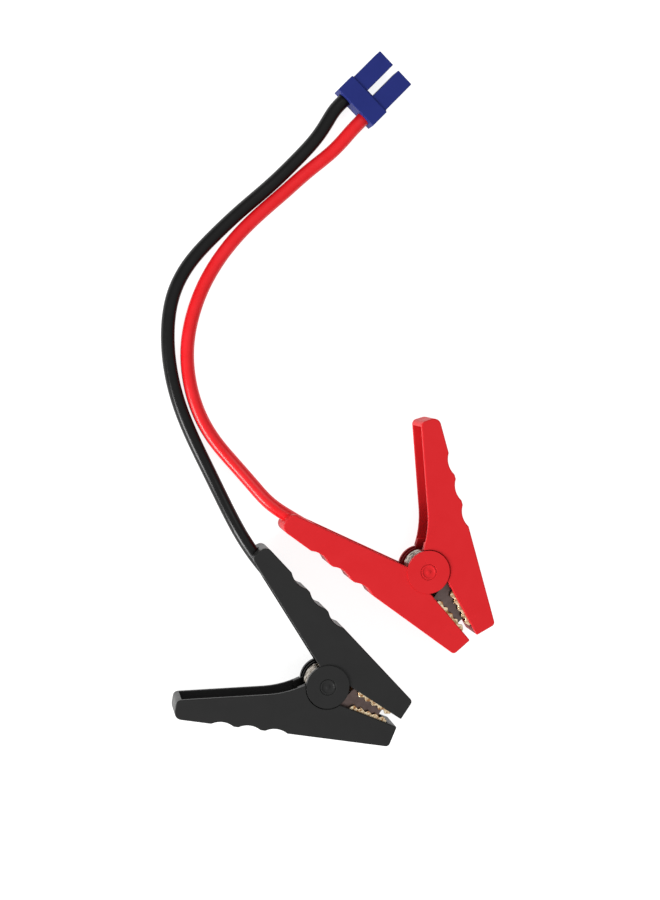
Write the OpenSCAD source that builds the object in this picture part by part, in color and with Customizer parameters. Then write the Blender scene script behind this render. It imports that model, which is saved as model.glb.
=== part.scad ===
// Clamp lead for a jump starter: a two-prong plug, two silicone cables and two sprung clamps.
// Millimetres, +Z up. The lead lies on the plane z = 0, with the clamps on their sides. The origin is under
// the middle of the plug and clamps.
//
// Each clamp is drawn in its own frame: the pivot axis is z, the cable half lies along x with its jaw towards
// +x and its back edge towards -y, and z = 0 is the clamp's middle plane. A single half is drawn with its
// back edge towards +y.

/* [Clamp halves] */
// Thickness of a clamp over its side walls
clamp_t = 22; // [21:0.5:28]
// Side walls of the moulded halves
side_wall = 2; // [1.6:0.1:2.4]
// Back wall of the halves, which the finger grips cut into
back_wall = 3.2; // [2.6:0.1:4]
// Wall at the ends of the handles and jaws
end_wall = 2.4; // [1.8:0.1:3.2]
// Pivot to the end of a handle
handle_l = 69.2; // [60:0.1:90]
// Pivot to the tip of a jaw
jaw_l = 36; // [33:0.1:44]
// Pivot to the straight back edge of a half
back_y = 24.4; // [23.5:0.1:27]
// Height of a handle at its end
handle_end_h = 9.3; // [8.8:0.1:11]
// Height of a jaw at its tip
jaw_tip_h = 9.9; // [9:0.1:11]
// Gap between the moulded tips of a closed clamp
tip_gap = 4.1; // [3.6:0.1:8]
// Number of finger grips on a handle
grips = 3; // [2:1:4]
// Spacing of the finger grips
grip_pitch = 12.8; // [10:0.1:14]
// Depth of the finger grips
grip_d = 1.5; // [0.8:0.1:1.8]

/* [Pivot and spring] */
// Radius of the round ears at the pivot
ear_r = 10.2; // [9.5:0.1:11.5]
// Height of the round boss on the outer ears
boss_h = 0.6; // [0.3:0.1:1.2]
// Thickness of the inner ears
inner_ear_t = 2; // [1.6:0.1:2.4]
// Radius of the pivot pin
pin_r = 2.5; // [2:0.1:3]
// Radius of the caps over the pin's ends
cap_r = 3.6; // [3.4:0.1:4.2]
// Mean radius of the spring's coils
coil_r = 8.2; // [7:0.1:8.6]
// Diameter of the spring's wire
wire_d = 2; // [1.4:0.1:2]
// Full turns of the spring between its legs
coil_turns = 5; // [4:1:5]
// Pivot to the end of a spring leg, along its handle
leg_l = 30; // [22:1:40]

/* [Jaw plates] */
// Sheet thickness of the jaw plates
plate_t = 1; // [0.8:0.1:1.2]
// Spacing of the teeth
tooth_pitch = 3.6; // [2.5:0.1:5]
// Height of the teeth
tooth_h = 1.3; // [0.8:0.1:1.6]
// How far the teeth stand out of the moulded jaw
tooth_out = 2.2; // [1.4:0.1:2.3]
// Where the cheeks end that close the sides of the mouth behind the teeth, from the pivot
cheek_end = 26; // [18:0.5:28]
// Radius of the plate screws' thread
plate_screw_r = 1.4; // [1:0.1:1.5]
// Diameter of the braid that joins the two plates
braid_d = 4.8; // [3.6:0.1:4.8]
// Thickness of the braid's flattened ends
braid_t = 1; // [0.6:0.1:1.2]
// Width of the braid's flattened ends
braid_w = 9; // [6:0.5:11]

/* [Cables] */
// Outside diameter of a cable
cable_d = 6.5; // [5.4:0.1:6.6]
// Diameter of the copper strands in a cable
core_d = 4.2; // [3:0.1:4.3]
// Length of jacket inside a clamp's handle
jacket_in = 23.2; // [20:0.1:26]
// Back edge of the handle to the cable's middle, at its end inside the handle
cable_seat = 8; // [7.5:0.1:9]

/* [Plug] */
// Width of the plug's back cap
plug_w = 23.2; // [22.4:0.1:28]
// Thickness of the plug's back cap
plug_t = 12.5; // [11.5:0.1:15]
// Length of the plug's back cap
cap_l = 9.3; // [8.5:0.1:12]
// Length of the prongs in front of the cap
prong_l = 17.6; // [16:0.1:22]
// Width of one prong
prong_w = 8.9; // [8.2:0.1:9.8]
// Spacing of the two contacts
contact_pitch = 12.4; // [11.8:0.1:14]
// Radius of the bullet sockets in the contacts
socket_r = 2.5; // [2:0.05:2.5]
// Depth of the bullet sockets
socket_l = 12.4; // [10:0.1:13]

/* [Hidden] */
$fn = 48;

slip = 0.1;       // flat faces that pass each other, and loose fits
run = 0.05;       // radial clearance of shafts, shanks and soldered cores
ear_gap = 0.3;    // round the outer ears
cut = 1;          // overshoot of cutting shapes

// Layers across a clamp, from its middle plane
half_t = clamp_t/2;
inside_t = half_t - side_wall;
inner_ear_out = inside_t - 2*slip;
inner_ear_in = inner_ear_out - inner_ear_t;
flange_out = inside_t - 2*slip;
mid_z = half_t + boss_h;

// Outline of a half
nose_r = 3.4;
heel_r = 2.4;
tip_r = 2;
tip_rake = 1.9;
neck = [2.2 - ear_r, 3.6];
throat = [4, 7];
tip = [jaw_l, back_y - jaw_tip_h];
flare_start = [-27, 7.3];
flare_turn = [-17.5, 5.4];
flare_end = [1.2 - ear_r, -0.5];
grip_r = 10;
grip_x = -20.6;
closed_angle = 2*(atan2(tip.y, tip.x) - asin(tip_gap/2/norm(tip)));

// Pin, caps and hubs
cap_t = 0.6;
head_t = 0.6;
head_r = 3.4;
pin_end = half_t + boss_h - cap_t - head_t;
hub_r = coil_r - wire_d/2 - ear_gap;
hub_gap = 1;

// Spring legs leave the coil where their line to the back wall touches it
back_in = back_y - back_wall;
leg_end = [-leg_l, back_in - slip - wire_d/2];
leg_angle = atan2(leg_end.y, leg_end.x) - acos(coil_r/norm(leg_end));
coil_z = inner_ear_in - 2*slip - wire_d/2;

// Plates, their screws, the lug and the braid
pad_h = 1.5;
pad_r = 3.2;
web_y = back_in - pad_h - plate_t;
web_x = 8;
plate_end = jaw_l - tip_rake - end_wall - 0.8;
cheek_out = min(flange_out - plate_t, inner_ear_in) - 2*slip;
cheek_reach = 0.6;
screw_x = [14, 27];
screw_head_r = 2.6;
screw_head_h = 1.8;
screw_skin = 1.3;
jacket_end = -(handle_l - jacket_in);
seat_y = back_y - cable_seat;
entry_y = back_y - 6.8;
cable_gap = 0.5;
lug_wall = 0.75;
lug_bore_r = core_d/2 + run;
barrel_x = jacket_end + 1;
barrel_l = 10;
palm_t = 1.2;
palm_w = 8.4;
palm_hole_x = jacket_end + 19;
palm_end_x = palm_hole_x + 5;
tail_end_x = palm_hole_x - 5.5;
lug_screw_r = 1.9;
lug_head_r = 3.4;
lug_head_h = 2.2;
braid_rise = [8.7, web_y - braid_t/2];
braid_front = 14.9;

// Plug, in its own frame: x from the back of the cap to the tips, z = 0 the middle plane
plug_pos = [10.5, 136.5];
plug_turn = 45;
cap_wall = 1.4;
cap_back = 2.6;
tenon_x = 3;
prong_t = plug_t - 1;
jacket_in_plug = 5;
cup_l = 6.3;
contact_x = jacket_in_plug + 0.2;
contact_r = max(socket_r, core_d/2) + 0.6;
contact_end = cap_l + prong_l - 1.5;

// Cables: control points [x, y, lift] of their middle lines, from the plug to the end inside the clamp. Lift is
// the share of the way up from the surface, to the plug's middle plane for the first and to the clamps' for
// the rest. Each cable's first points, in the plug, follow from where the plug lies.
red_route = [
    [1.5, 117, 0.3], [-10.6, 108.1, 0], [-21.7, 97.75, 0], [-33.2, 88.2, 0], [-44.15, 77.65, 0], [-53.5, 66, 0],
    [-61, 53, 0], [-66, 39, 0], [-68.5, 24.5, 0], [-67.5, 9.5, 0], [-63.5, -5, 0], [-56.5, -18, 0],
    [-46.5, -29.5, 0.2], [-37.5, -40, 0.6], [-31, -48, 0.9], [-22, -54, 1], [-11, -60.5, 1], [-3, -66.5, 1]
];
black_route = [
    [-5.2, 124.2, 0.3], [-16.6, 112.3, 0], [-28.8, 100.3, 0], [-42.35, 89.3, 0], [-54.9, 77.4, 0], [-67, 65, 0],
    [-75, 50.5, 0], [-77.5, 33.5, 0], [-76.5, 16, 0], [-72.5, -1, 0], [-66, -17, 0], [-58.5, -32.5, 0.1],
    [-51.5, -47.5, 0.45], [-45.5, -60, 0.85], [-38.5, -71.5, 1], [-30, -82, 1], [-23.5, -89, 1]
];
plug_leave = [jacket_in_plug, -2, -8];
cable_sides = 12;
spring_sides = 8;

function unit(v) = v/norm(v);
function arc(c, r, a0, a1, n) = [for (i = [0:n]) c + r*[cos(a0 + (a1 - a0)*i/n), sin(a0 + (a1 - a0)*i/n)]];
function bend(a, b, c, n) = [for (i = [0:n]) let (t = i/n) (1 - t)*(1 - t)*a + 2*t*(1 - t)*b + t*t*c];
function turned(p, a) = [p.x*cos(a) - p.y*sin(a), p.x*sin(a) + p.y*cos(a)];
function flipped(points) = [for (i = [len(points) - 1:-1:0]) points[i]];

// Straight back edge, rounded nose, inner edge of the handle, throat, inner edge of the jaw, tip
function half_outline(flared) = concat(
    arc([nose_r - handle_l, back_y - nose_r], nose_r, 90, 180, 6),
    arc([heel_r - handle_l, back_y - handle_end_h + heel_r], heel_r, 180, 262, 5),
    flared ? bend(flare_start, flare_turn, flare_end, 6) : [neck],
    [throat, tip],
    arc([jaw_l - tip_rake - tip_r, back_y - tip_r], tip_r, 10, 90, 4)
);
function jaw_edge(x) = throat.y + (tip.y - throat.y)*(x - throat.x)/(tip.x - throat.x);

// Smooth line through control points: a cubic B-spline that starts and ends at the first and last of them
function blend(a, b, c, d, t) =
    ((1 - t)^3*a + (3*t^3 - 6*t^2 + 4)*b + (3*t + 3*t^2 - 3*t^3 + 1)*c + t^3*d)/6;
function smooth(p, n) = let (last = len(p) - 1, q = concat([2*p[0] - p[1]], p, [2*p[last] - p[last - 1]])) concat(
    [for (i = [0:last - 1]) for (k = [0:n - 1]) blend(q[i], q[i + 1], q[i + 2], q[i + 3], k/n)],
    [p[last]]
);
function lifted(p, top) = [p.x, p.y, cable_d/2 + p.z*(top - cable_d/2)];
function in_plug(x, side) = concat(plug_pos + turned([x, side*contact_pitch/2], plug_turn), plug_t/2);
function cable_line(side, route) = smooth(concat(
    [for (x = plug_leave) in_plug(x, side)],
    [for (i = [0:len(route) - 1]) lifted(route[i], i == 0 ? plug_t/2 : mid_z)]
), 2);
red_line = cable_line(-1, red_route);
black_line = cable_line(1, black_route);

// A round tube swept along points, square to its line at both ends
function along(p, i) = unit(p[min(i + 1, len(p) - 1)] - p[max(i - 1, 0)]);
function ring(c, t, r, n) = let (s = unit(cross(t, [0, 0, 1])), u = cross(s, t))
    [for (k = [0:n - 1]) c + r*(cos(360*k/n)*s + sin(360*k/n)*u)];
module tube(points, d, n) {
    last = (len(points) - 1)*n;
    polyhedron(
        points = [for (i = [0:len(points) - 1]) each ring(points[i], along(points, i), d/2, n)],
        faces = concat(
            [[for (k = [n - 1:-1:0]) k]],
            [for (i = [0:n:last - n]) for (k = [0:n - 1]) [i + k, i + (k + 1)%n, i + n + k]],
            [for (i = [0:n:last - n]) for (k = [0:n - 1]) [i + (k + 1)%n, i + n + (k + 1)%n, i + n + k]],
            [[for (k = [0:n - 1]) last + k]]
        )
    );
}

// Places a clamp so that its cable half takes the end of a cable, with the black clamp turned over
module on_clamp(line, over) {
    end = line[len(line) - 1];
    way = end - line[len(line) - 2];
    translate([end.x, end.y, mid_z])
        rotate([0, 0, atan2(way.y, way.x)])
            rotate([over ? 180 : 0, 0, 0])
                translate([-jacket_end, seat_y, 0]) children();
}
module on_red() { on_clamp(red_line, false) children(); }
module on_black() { on_clamp(black_line, true) children(); }
module cable_half() { mirror([0, 1, 0]) children(); }
module free_half() { rotate([0, 0, -closed_angle]) children(); }
module on_plug() { translate([plug_pos.x, plug_pos.y, plug_t/2]) rotate([0, 0, plug_turn]) children(); }

module both_sides() { for (s = [0, 1]) mirror([0, 0, s]) children(); }
module layer(low, high) { translate([0, 0, low]) linear_extrude(high - low) children(); }
module bar_along_y(x, r, y0, y1) { translate([x, y0, 0]) rotate([-90, 0, 0]) cylinder(r = r, h = y1 - y0); }
module bar_along_x(x0, x1, r) { translate([x0, 0, 0]) rotate([0, 90, 0]) cylinder(r = r, h = x1 - x0); }

// Channel of a half: side walls, back wall and end walls, open towards the other half
module channel(flared) {
    difference() {
        linear_extrude(clamp_t, center = true) difference() {
            polygon(half_outline(flared));
            if (flared) circle(ear_r + ear_gap);
        }
        translate([end_wall - handle_l, -ear_r - cut, -inside_t])
            cube([handle_l + plate_end + 0.6 - end_wall, back_in + ear_r + cut, 2*inside_t]);
    }
}
module grip_cuts() {
    for (i = [0:grips - 1])
        translate([grip_x - i*grip_pitch, back_y + grip_r - grip_d, 0])
            cylinder(r = grip_r, h = clamp_t + cut, center = true);
}
module pads(places, r) { for (x = places) bar_along_y(x, r, back_in - pad_h, back_in + 0.5); }
module pilots(places, r) { for (x = places) bar_along_y(x, r + run, web_y, back_y - screw_skin); }

// Half that holds the cable, with the outer ears
module cable_shell() {
    difference() {
        union() {
            channel(false);
            both_sides() layer(inside_t, mid_z) circle(ear_r);
            pads(screw_x, pad_r);
            pads([palm_hole_x], pad_r);
        }
        grip_cuts();
        pilots(screw_x, plate_screw_r);
        pilots([palm_hole_x], lug_screw_r);
        for (z = [pin_end, -pin_end - mid_z]) translate([0, 0, z]) cylinder(r = cap_r + run, h = mid_z);
        cylinder(r = pin_r + run, h = 2*pin_end + cut, center = true);
        translate([0, entry_y, 0]) bar_along_x(-handle_l - cut, end_wall + cut - handle_l, cable_d/2 + cable_gap);
        translate([-handle_l - cut, 0, -cable_d/2 - cable_gap])
            cube([end_wall + 2*cut, entry_y, cable_d + 2*cable_gap]);
    }
}
// Half that moves, with the inner ears and the hubs that carry the spring
module free_shell() {
    reach = ear_r + 3.8;
    difference() {
        union() {
            channel(true);
            both_sides() {
                layer(inner_ear_in, inner_ear_out) {
                    circle(ear_r - 0.6);
                    intersection() {
                        polygon(half_outline(true));
                        circle(reach);
                    }
                }
                layer(inner_ear_in, inside_t + side_wall/2) intersection() {
                    polygon(half_outline(true));
                    difference() {
                        circle(reach);
                        circle(ear_r + ear_gap);
                    }
                }
                translate([0, 0, hub_gap/2]) cylinder(r = hub_r, h = inner_ear_in + 0.5 - hub_gap/2);
            }
            pads(screw_x, pad_r);
        }
        grip_cuts();
        pilots(screw_x, plate_screw_r);
        cylinder(r = pin_r + run, h = 3*mid_z, center = true);
    }
}

// Cheek across the mouth, inside a flange: from the web past the teeth and into the other half's plate
function across(p) = turned([p.x, -p.y], closed_angle);
module cheek() {
    start = [8, jaw_edge(8) + cheek_reach];
    near = across(start);
    far = across([cheek_end, jaw_edge(cheek_end) + cheek_reach]);
    polygon(concat(
        [[10.4, web_y + plate_t]],
        arc([0, 0], ear_r + 2*ear_gap, 14, atan2(near.y, near.x), 5),
        [near, far, [cheek_end, web_y + plate_t]]
    ));
}

// Toothed plate bent up from sheet: two toothed flanges and a web. The cable half's also has a tail to the lug
// and the cheeks.
module jaw_plate(tail) {
    teeth = floor((plate_end - 11)/tooth_pitch);
    first = plate_end - teeth*tooth_pitch;
    edge = concat(
        [for (i = [0:teeth - 1]) each [
            [first + i*tooth_pitch, jaw_edge(first + i*tooth_pitch) - tooth_out + tooth_h],
            [first + (i + 0.5)*tooth_pitch, jaw_edge(first + (i + 0.5)*tooth_pitch) - tooth_out]
        ]],
        [[plate_end, jaw_edge(plate_end) - tooth_out + tooth_h]]
    );
    difference() {
        union() {
            both_sides() layer(flange_out - plate_t, flange_out)
                polygon(concat(
                    [[web_x, web_y + plate_t], [web_x, web_y - 2]], edge, [[plate_end, web_y + plate_t]]
                ));
            translate([web_x, web_y, -flange_out]) cube([plate_end - web_x, plate_t, 2*flange_out]);
            if (tail) {
                both_sides() layer(cheek_out - plate_t, cheek_out) cheek();
                translate([tail_end_x, web_y, -palm_w/2]) cube([web_x + cut - tail_end_x, plate_t, palm_w]);
            }
        }
        for (x = screw_x) bar_along_y(x, plate_screw_r + 2*slip, web_y - cut, web_y + plate_t + cut);
        if (tail) bar_along_y(palm_hole_x, lug_screw_r + 2*slip, web_y - cut, web_y + plate_t + cut);
    }
}
module screw(x, r, head_r, head_h, seat) {
    bar_along_y(x, head_r, seat - head_h, seat);
    bar_along_y(x, r, seat - head_h/2, back_y - screw_skin - slip);
}
module plate_screws() {
    for (i = [0, 1])
        screw(screw_x[i], plate_screw_r, screw_head_r, screw_head_h, i == 0 ? web_y - braid_t : web_y);
}
module lug_screw() { screw(palm_hole_x, lug_screw_r, lug_head_r, lug_head_h, web_y - palm_t); }

// Crimped lug: a barrel on the cable's strands and a palm screwed to the plate's tail
module cable_lug() {
    difference() {
        union() {
            translate([0, seat_y, 0]) bar_along_x(barrel_x, barrel_x + barrel_l, lug_bore_r + lug_wall);
            translate([barrel_x + barrel_l - 1, web_y - palm_t, -palm_w/2])
                cube([palm_end_x - barrel_x - barrel_l + 1, palm_t, palm_w]);
        }
        translate([0, seat_y, 0]) bar_along_x(barrel_x - cut, barrel_x + barrel_l - 1, lug_bore_r);
        bar_along_y(palm_hole_x, lug_screw_r + 2*slip, web_y - palm_t - cut, web_y + cut);
    }
}

// Round braid that loops from one plate's web round the front of the spring to the other's, flattened at both
// ends under the first screws
half_braid = [braid_rise, braid_rise + [-0.2, -3.7], [9.2, 11.3], [11.3, 8.6], [13.3, 6.5]];
module braid_foot() {
    low = braid_rise.x - braid_d/2;
    translate([low, web_y - braid_t, -braid_w/2]) cube([17 - low, braid_t, braid_w]);
}
module braid_strap() {
    lower = [for (p = half_braid) [p.x, -p.y, 0]];
    front = [concat(turned([braid_front, 0], -closed_angle/2), 0)];
    upper = [for (p = flipped(half_braid)) concat(turned(p, -closed_angle), 0)];
    difference() {
        union() {
            tube(smooth(concat(lower, front, upper), 3), braid_d, cable_sides);
            cable_half() braid_foot();
            free_half() braid_foot();
        }
        cable_half() bar_along_y(screw_x[0], plate_screw_r + 2*slip, web_y - 2*braid_t, web_y + cut);
        free_half() bar_along_y(screw_x[0], plate_screw_r + 2*slip, web_y - 2*braid_t, web_y + cut);
    }
}

// Torsion spring: a leg in each handle's channel, wound tighter as the handles close
module torsion_spring() {
    start = -leg_angle;
    end = leg_angle - closed_angle + 360*coil_turns;
    steps = 16*coil_turns;
    coil = [for (i = [0:steps]) let (a = start + (end - start)*i/steps)
        [coil_r*cos(a), coil_r*sin(a), coil_z*(2*i/steps - 1)]];
    lower = [leg_end.x, -leg_end.y, -coil_z];
    upper = concat(turned(leg_end, -closed_angle), coil_z);
    tube(concat([lower], coil, [upper]), wire_d, spring_sides);
}
module pivot_pin() {
    translate([0, 0, -pin_end]) cylinder(r = pin_r, h = 2*pin_end + head_t);
    translate([0, 0, pin_end]) cylinder(r = head_r, h = head_t);
}
module pin_washer() {
    translate([0, 0, -pin_end - head_t]) cylinder(r = head_r, h = head_t);
}
module pivot_caps() {
    both_sides() translate([0, 0, mid_z - cap_t]) cylinder(r = cap_r, h = cap_t);
}

// The plug's prongs, with a tenon that the back cap closes over
module prong_section() {
    polygon([[-prong_w/2, -prong_t/2 + 2], [2 - prong_w/2, -prong_t/2], [prong_w/2, -prong_t/2],
        [prong_w/2, prong_t/2], [-prong_w/2, prong_t/2]]);
}
module plug_body() color("#2b3190") on_plug() difference() {
    union() {
        for (s = [-1, 1])
            translate([cap_l, s*contact_pitch/2, 0]) rotate([90, 0, 90]) linear_extrude(prong_l) prong_section();
        translate([tenon_x, cap_wall + slip - plug_w/2, cap_wall + slip - plug_t/2])
            cube([cap_l - tenon_x + slip, plug_w - 2*cap_wall - 2*slip, plug_t - 2*cap_wall - 2*slip]);
        translate([cap_l, slip + 0.6 - plug_w/2, -prong_t/2]) cube([0.6, plug_w - 1.2 - 2*slip, prong_t]);
    }
    for (s = [-1, 1]) translate([0, s*contact_pitch/2, 0]) {
        bar_along_x(tenon_x, cap_l + prong_l + cut, contact_r + run);
        bar_along_x(tenon_x - cut, jacket_in_plug + slip, cable_d/2 + 2*slip);
    }
}
module plug_back_cap() color("#262b84") on_plug() difference() {
    translate([0, -plug_w/2, -plug_t/2]) cube([cap_l, plug_w, plug_t]);
    translate([cap_back, cap_wall - plug_w/2, cap_wall - plug_t/2])
        cube([cap_l, plug_w - 2*cap_wall, plug_t - 2*cap_wall]);
    for (s = [-1, 1]) translate([0, s*contact_pitch/2, 0]) bar_along_x(-cut, cap_back + cut, cable_d/2 + 2*slip);
}
// Contact: a solder cup for the strands and a socket for a bullet pin
module contact(side) on_plug() translate([0, side*contact_pitch/2, 0]) difference() {
    bar_along_x(contact_x, contact_end, contact_r);
    bar_along_x(contact_x - cut, contact_x + cup_l, core_d/2 + run);
    bar_along_x(contact_end - socket_l, contact_end + cut, socket_r);
}
module positive_contact() color("#d8b45a") contact(-1);
module negative_contact() color("#d8b45a") contact(1);
module strands(side) {
    on_plug() translate([0, side*contact_pitch/2, 0])
        bar_along_x(jacket_in_plug, contact_x + cup_l - slip, core_d/2);
}
module lug_strands() {
    cable_half() translate([0, seat_y, 0]) bar_along_x(jacket_end, barrel_x + barrel_l - 1 - slip, core_d/2);
}

module red_cable() color("#e01c24") tube(red_line, cable_d, cable_sides);
module black_cable() color("#1c1c1c") tube(black_line, cable_d, cable_sides);
module red_conductor_ends() color("#b87333") { strands(-1); on_red() lug_strands(); }
module black_conductor_ends() color("#b87333") { strands(1); on_black() lug_strands(); }

module red_cable_jaw_shell() color("#d52b2e") on_red() cable_half() cable_shell();
module red_free_jaw_shell() color("#d52b2e") on_red() free_half() free_shell();
module red_cable_jaw_plate() color("#c98a5a") on_red() cable_half() jaw_plate(true);
module red_free_jaw_plate() color("#c98a5a") on_red() free_half() jaw_plate(false);
module red_cable_plate_screws() color("#b8b8b8") on_red() cable_half() plate_screws();
module red_free_plate_screws() color("#b8b8b8") on_red() free_half() plate_screws();
module red_cable_lug() color("#c0b8a8") on_red() cable_half() cable_lug();
module red_lug_screw() color("#b8b8b8") on_red() cable_half() lug_screw();
module red_braid_strap() color("#a9764c") on_red() braid_strap();
module red_torsion_spring() color("#c4c4c4") on_red() torsion_spring();
module red_pivot_pin() color("#b0b0b0") on_red() pivot_pin();
module red_pin_washer() color("#b0b0b0") on_red() pin_washer();
module red_pivot_caps() color("#d52b2e") on_red() pivot_caps();

module black_cable_jaw_shell() color("#303030") on_black() cable_half() cable_shell();
module black_free_jaw_shell() color("#303030") on_black() free_half() free_shell();
module black_cable_jaw_plate() color("#c98a5a") on_black() cable_half() jaw_plate(true);
module black_free_jaw_plate() color("#c98a5a") on_black() free_half() jaw_plate(false);
module black_cable_plate_screws() color("#b8b8b8") on_black() cable_half() plate_screws();
module black_free_plate_screws() color("#b8b8b8") on_black() free_half() plate_screws();
module black_cable_lug() color("#c0b8a8") on_black() cable_half() cable_lug();
module black_lug_screw() color("#b8b8b8") on_black() cable_half() lug_screw();
module black_braid_strap() color("#a9764c") on_black() braid_strap();
module black_torsion_spring() color("#c4c4c4") on_black() torsion_spring();
module black_pivot_pin() color("#b0b0b0") on_black() pivot_pin();
module black_pin_washer() color("#b0b0b0") on_black() pin_washer();
module black_pivot_caps() color("#303030") on_black() pivot_caps();

plug_body();
plug_back_cap();
positive_contact();
negative_contact();
red_cable();
black_cable();
red_conductor_ends();
black_conductor_ends();
red_cable_jaw_shell();
red_free_jaw_shell();
red_cable_jaw_plate();
red_free_jaw_plate();
red_cable_plate_screws();
red_free_plate_screws();
red_cable_lug();
red_lug_screw();
red_braid_strap();
red_torsion_spring();
red_pivot_pin();
red_pin_washer();
red_pivot_caps();
black_cable_jaw_shell();
black_free_jaw_shell();
black_cable_jaw_plate();
black_free_jaw_plate();
black_cable_plate_screws();
black_free_plate_screws();
black_cable_lug();
black_lug_screw();
black_braid_strap();
black_torsion_spring();
black_pivot_pin();
black_pin_washer();
black_pivot_caps();
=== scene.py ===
# Clamp lead of a jump starter: two-prong plug, a black and a red silicone cable, two sprung clamps.
# It lies loose on a pale table, the clamps on their sides. Sizes are in millimetres and turned to metres by mm.
from math import acos, asin, atan2, cos, pi, radians, sin

import bmesh
import bpy
from mathutils import Matrix, Vector


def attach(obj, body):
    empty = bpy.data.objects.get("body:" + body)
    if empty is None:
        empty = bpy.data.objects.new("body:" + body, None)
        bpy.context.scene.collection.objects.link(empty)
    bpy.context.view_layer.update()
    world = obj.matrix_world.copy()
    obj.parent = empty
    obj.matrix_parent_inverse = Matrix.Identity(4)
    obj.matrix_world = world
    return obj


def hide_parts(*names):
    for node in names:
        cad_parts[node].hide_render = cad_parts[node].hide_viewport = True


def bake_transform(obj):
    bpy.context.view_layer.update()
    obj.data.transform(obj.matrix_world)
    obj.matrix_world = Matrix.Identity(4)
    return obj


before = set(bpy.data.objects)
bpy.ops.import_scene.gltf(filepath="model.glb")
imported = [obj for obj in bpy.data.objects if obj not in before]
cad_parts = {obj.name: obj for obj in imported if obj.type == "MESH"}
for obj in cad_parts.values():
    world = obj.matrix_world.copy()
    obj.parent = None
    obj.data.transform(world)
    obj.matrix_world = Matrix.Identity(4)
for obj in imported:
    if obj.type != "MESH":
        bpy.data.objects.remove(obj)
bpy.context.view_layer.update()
mm = 0.001
scene = bpy.context.scene


# ---------------------------------------------------------------------------------------------------------
# Camera, table and studio light. The camera looks almost straight down. The table is a sheet of opal acrylic,
# lit from below too, so it stays white between the pieces. The main softbox is low on the left, so the edges
# that face it catch a thin line of light, and the rest comes softly from above and all round.
def paint(code):
    """A surface colour, written as sRGB hex, in the linear values that Blender mixes."""
    parts = [int(code[i:i + 2], 16)/255 for i in (0, 2, 4)]
    return tuple(c/12.92 if c <= 0.04045 else ((c + 0.055)/1.055)**2.4 for c in parts) + (1,)


def connect(node, links):
    """Puts a plain value, a socket or another node's first output on each of a node's inputs."""
    for key, source in links.items():
        if isinstance(source, bpy.types.Node):
            source = source.outputs[0]
        if isinstance(source, bpy.types.NodeSocket):
            node.id_data.links.new(source, node.inputs[key])
        else:
            node.inputs[key].default_value = source


def add(tree, kind, links=(), **settings):
    """Adds a node with its settings. Its links are a dict of inputs, or a list in the inputs' order."""
    node = tree.nodes.new(kind)
    for name, value in settings.items():
        setattr(node, name, value)
    connect(node, links if isinstance(links, dict) else dict(enumerate(links)))
    return node


def start_material(name):
    """A new material: its tree, its surface shader and the place on the object that patterns follow."""
    made = bpy.data.materials.new(name)
    made.use_nodes = True
    tree = made.node_tree
    return made, tree, tree.nodes["Principled BSDF"], add(tree, "ShaderNodeTexCoord").outputs["Object"]


def aim(obj, place, target, up=(0, 0, 1)):
    """Stands obj at place, looking at target."""
    back = (Vector(place) - Vector(target)).normalized()
    side = Vector(up).cross(back).normalized()
    obj.matrix_world = Matrix.Translation(place) @ Matrix((side, back.cross(side), back)).transposed().to_4x4()


camera = bpy.data.objects.new("camera", bpy.data.cameras.new("camera"))
scene.collection.objects.link(camera)
camera.data.sensor_width = 36
camera.data.lens = 66.88
camera.data.clip_start, camera.data.clip_end = 0.01, 50
aim(camera, Vector((-128.5, 28.0, 787.8))*mm, Vector((0.3, -24.0, 0))*mm, up=(0, 1, 0))
scene.camera = camera

# Opal acrylic: milky, dull and even, with clouds of 40 mm that hardly show
table_paint, tree, shader, place = start_material("backlit_opal_acrylic")
clouds = add(tree, "ShaderNodeTexNoise", {"Vector": place, "Scale": 1/(40*mm), "Detail": 3})
tone = add(tree, "ShaderNodeMix", {0: clouds, 6: paint("a4a4a3"), 7: paint("a8a8a7")}, data_type="RGBA")
connect(shader, {"Base Color": tone.outputs[2], "Roughness": 0.9, "Specular IOR Level": 0.1,
                 "Emission Color": (1, 1, 1, 1), "Emission Strength": 0.86})
side = 15000*mm
sheet = bpy.data.meshes.new("table")
sheet.from_pydata([(-side, -side, 0), (side, -side, 0), (side, side, 0), (-side, side, 0)], [], [(0, 1, 2, 3)])
sheet.materials.append(table_paint)
table = bpy.data.objects.new("table", sheet)
scene.collection.objects.link(table)

# The room is dim at the height of the table and bright overhead
world = bpy.data.worlds.new("studio")
scene.world = world
world.use_nodes = True
tree = world.node_tree
way = add(tree, "ShaderNodeSeparateXYZ", [add(tree, "ShaderNodeTexCoord").outputs["Generated"]])
glow = add(tree, "ShaderNodeMapRange", {"Value": way.outputs["Z"], "From Min": 0.1, "From Max": 0.95,
                                        "To Min": 0.33, "To Max": 0.8})
connect(tree.nodes["Background"], {"Strength": glow, "Color": (1, 1, 1, 1)})

for name, place, size, power in (("softbox_left", (-1000, -650, 520), 500, 20.0),
                                 ("softbox_above", (300, 900, 1100), 700, 4.0)):
    lamp = bpy.data.lights.new(name, "AREA")
    lamp.shape, lamp.size, lamp.energy = "SQUARE", size*mm, power
    lamp = bpy.data.objects.new(name, lamp)
    scene.collection.objects.link(lamp)
    aim(lamp, Vector(place)*mm, (0, 0, 0))
scene.view_settings.view_transform = "Standard"


# ---------------------------------------------------------------------------------------------------------
# The two cables: fine-stranded copper in a round jacket of soft silicone rubber, extruded and glossy.
# They leave the plug's cap side by side, lie on the table and rise again into the clamps' handles.
cable_d = 6.5
plug_place, plug_turn, plug_thick = Vector((10.5, 136.5)), radians(45), 12.5
contact_pitch = 12.4
jacket_in_plug = 5
clamp_middle = 11.6
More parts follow.
